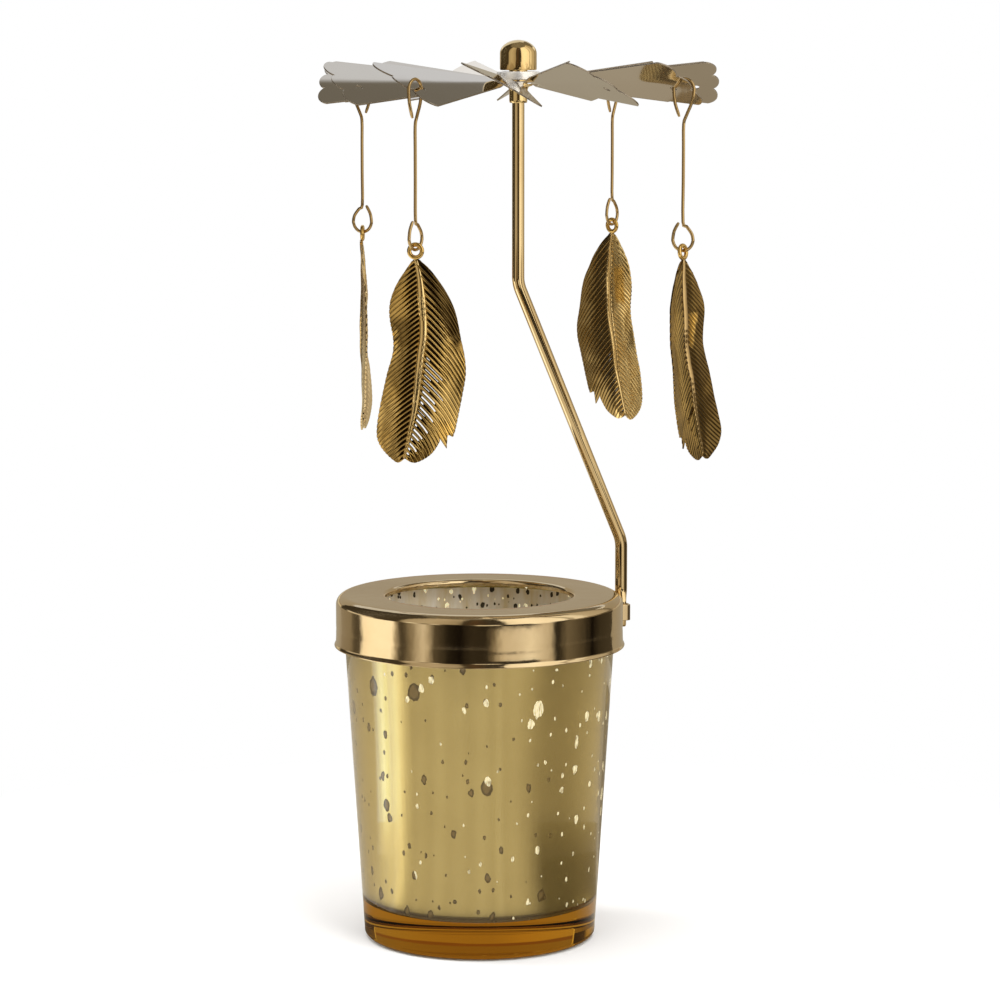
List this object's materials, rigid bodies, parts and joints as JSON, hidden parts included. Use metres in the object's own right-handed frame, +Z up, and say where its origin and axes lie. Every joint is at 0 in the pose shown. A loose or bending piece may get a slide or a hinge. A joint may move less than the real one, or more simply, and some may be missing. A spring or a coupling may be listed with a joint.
{
  "type": "rotary candle holder",
  "caption": "Tapered speckled votive glass with a gold lid ring and bent rod; a pitched rotor on the rod's point turns in the warm air and carries hanging feather charms.",
  "frame": {"origin": "middle of the glass cup's flat underside", "axes": "+Z up along the cup's axis, -Y towards the pictured front, +X to the right"},
  "size_m": [0.1, 0.0996, 0.2269],
  "materials": {
    "amber_glass": "amber glass with a speckled gold and silver film inside",
    "gold_metal": "polished pale gold plating",
    "rotor_metal": "mirror champagne plating on thin sheet",
    "washer_metal": "satin pale metal"
  },
  "bodies": {
    "glass": {"glass_cup": "amber_glass"},
    "lid": {"lid_ring": "gold_metal"},
    "mast": {"support_rod": "gold_metal"},
    "rotor": {"rotor_fan": "rotor_metal", "hub_sleeve": "gold_metal", "hub_washer": "washer_metal", "hub_cap": "gold_metal"},
    "hook_1": {"hanger_hook_1": "gold_metal"},
    "hook_2": {"hanger_hook_2": "gold_metal"},
    "hook_3": {"hanger_hook_3": "gold_metal"},
    "hook_4": {"hanger_hook_4": "gold_metal"},
    "charm_1": {"feather_charm_1": "gold_metal"},
    "charm_2": {"feather_charm_2": "gold_metal"},
    "charm_3": {"feather_charm_3": "gold_metal"},
    "charm_4": {"feather_charm_4": "gold_metal"}
  },
  "joints": [
    {"name": "lid_lift", "type": "slide", "parent": "glass", "child": "lid", "axis": [0, 0, 1], "range_m": [0, 0.03]},
    {"name": "rod_pull", "type": "slide", "parent": "lid", "child": "mast", "axis": [0, 0, 1], "range_m": [0, 0.012]},
    {"name": "rotor_spin", "type": "hinge", "parent": "mast", "child": "rotor", "pos_m": [0.00976, 0.00329, 0.21645], "axis": [0, 0, 1], "continuous": true},
    {"name": "hook_1_swing", "type": "hinge", "parent": "rotor", "child": "hook_1", "pos_m": [-0.01502, -0.03673, 0.21471], "axis": [-0.8501, 0.5266, 0], "range_deg": [-10, 20]},
    {"name": "hook_2_swing", "type": "hinge", "parent": "rotor", "child": "hook_2", "pos_m": [0.04977, -0.0215, 0.21471], "axis": [-0.5266, -0.8501, 0], "range_deg": [-10, 20]},
    {"name": "hook_3_swing", "type": "hinge", "parent": "rotor", "child": "hook_3", "pos_m": [0.03454, 0.0433, 0.21471], "axis": [0.8501, -0.5266, 0], "range_deg": [-10, 20]},
    {"name": "hook_4_swing", "type": "hinge", "parent": "rotor", "child": "hook_4", "pos_m": [-0.03025, 0.02807, 0.21471], "axis": [0.5266, 0.8501, 0], "range_deg": [-10, 20]},
    {"name": "charm_1_swing", "type": "hinge", "parent": "hook_1", "child": "charm_1", "pos_m": [-0.01502, -0.03673, 0.17691], "axis": [-0.5266, -0.8501, 0], "range_deg": [-30, 30]},
    {"name": "charm_2_swing", "type": "hinge", "parent": "hook_2", "child": "charm_2", "pos_m": [0.04977, -0.0215, 0.17581], "axis": [0.8501, -0.5266, 0], "range_deg": [-30, 30]},
    {"name": "charm_3_swing", "type": "hinge", "parent": "hook_3", "child": "charm_3", "pos_m": [0.03454, 0.0433, 0.17901], "axis": [0.5266, 0.8501, 0], "range_deg": [-30, 30]},
    {"name": "charm_4_swing", "type": "hinge", "parent": "hook_4", "child": "charm_4", "pos_m": [-0.03025, 0.02807, 0.17781], "axis": [-0.8501, 0.5266, 0], "range_deg": [-30, 30]}
  ]
}
